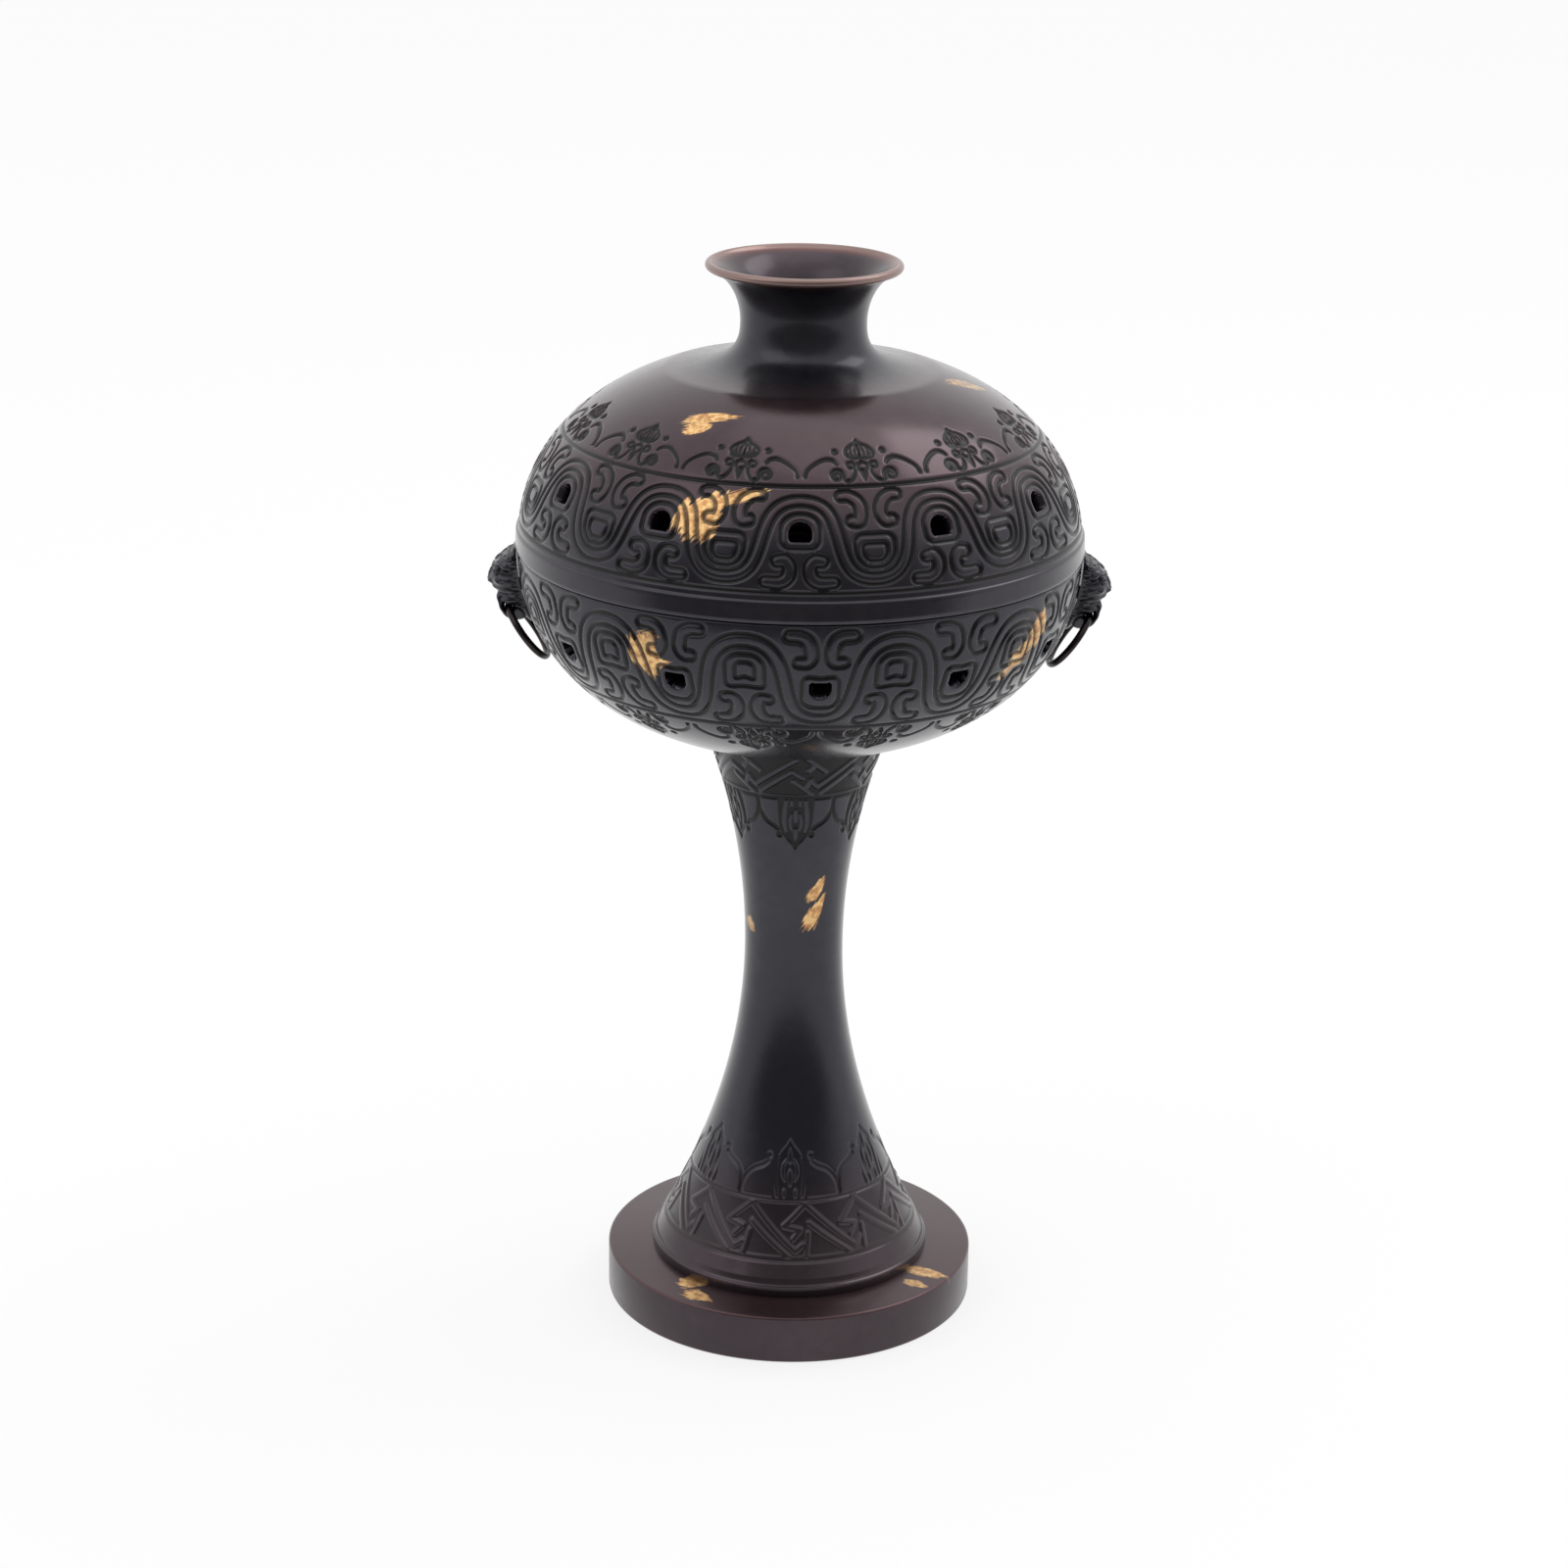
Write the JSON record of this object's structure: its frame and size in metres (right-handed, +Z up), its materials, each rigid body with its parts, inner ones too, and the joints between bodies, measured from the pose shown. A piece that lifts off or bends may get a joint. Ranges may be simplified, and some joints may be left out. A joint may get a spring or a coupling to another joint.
{
  "type": "incense holder",
  "caption": "Footed bronze incense holder: a pierced round bowl and lift-off lid with a flared smoke neck on a waisted stem and disc foot, with beast masks holding loose rings.",
  "frame": {"origin": "centre of the foot's underside, on the surface that the object stands on", "axes": "+Z up along the stem's axis; -Y is the front that the picture shows; the two beast masks lie on -X (left) and +X (right)"},
  "size_m": [0.1132, 0.1036, 0.2004],
  "materials": {
    "cast_bronze": "dark patinated cast bronze, satin, rubbed brown on the high parts",
    "ring_bronze": "dark patinated bronze, satin",
    "cup_brass": "plain brass, dulled by heat",
    "hardware_steel": "bright turned steel"
  },
  "bodies": {
    "base": {"foot_disc": "cast_bronze", "stem": "cast_bronze", "bowl": "cast_bronze", "tie_rod": "hardware_steel", "foot_washer": "hardware_steel", "foot_nut": "hardware_steel", "bowl_washer": "hardware_steel", "bowl_nut": "hardware_steel", "left_beast_mask": "cast_bronze", "left_mask_screw": "hardware_steel", "right_beast_mask": "cast_bronze", "right_mask_screw": "hardware_steel"},
    "lid": {"lid": "cast_bronze"},
    "ash_cup": {"ash_cup": "cup_brass"},
    "stick_socket": {"stick_socket": "cup_brass"},
    "left_ring": {"left_ring": "ring_bronze"},
    "right_ring": {"right_ring": "ring_bronze"}
  },
  "joints": [
    {"name": "lid_lift", "type": "slide", "parent": "base", "child": "lid", "axis": [0, 0, 1], "range_m": [0, 0.08]},
    {"name": "cup_lift", "type": "slide", "parent": "base", "child": "ash_cup", "axis": [0, 0, 1], "range_m": [0, 0.023]},
    {"name": "socket_lift", "type": "slide", "parent": "ash_cup", "child": "stick_socket", "axis": [0, 0, 1], "range_m": [0, 0.025]},
    {"name": "left_ring_swing", "type": "hinge", "parent": "base", "child": "left_ring", "pos_m": [-0.0532, 0, 0.136], "axis": [0, 1, 0], "range_deg": [0, 120]},
    {"name": "right_ring_swing", "type": "hinge", "parent": "base", "child": "right_ring", "pos_m": [0.0532, 0, 0.136], "axis": [0, -1, 0], "range_deg": [0, 120]}
  ]
}
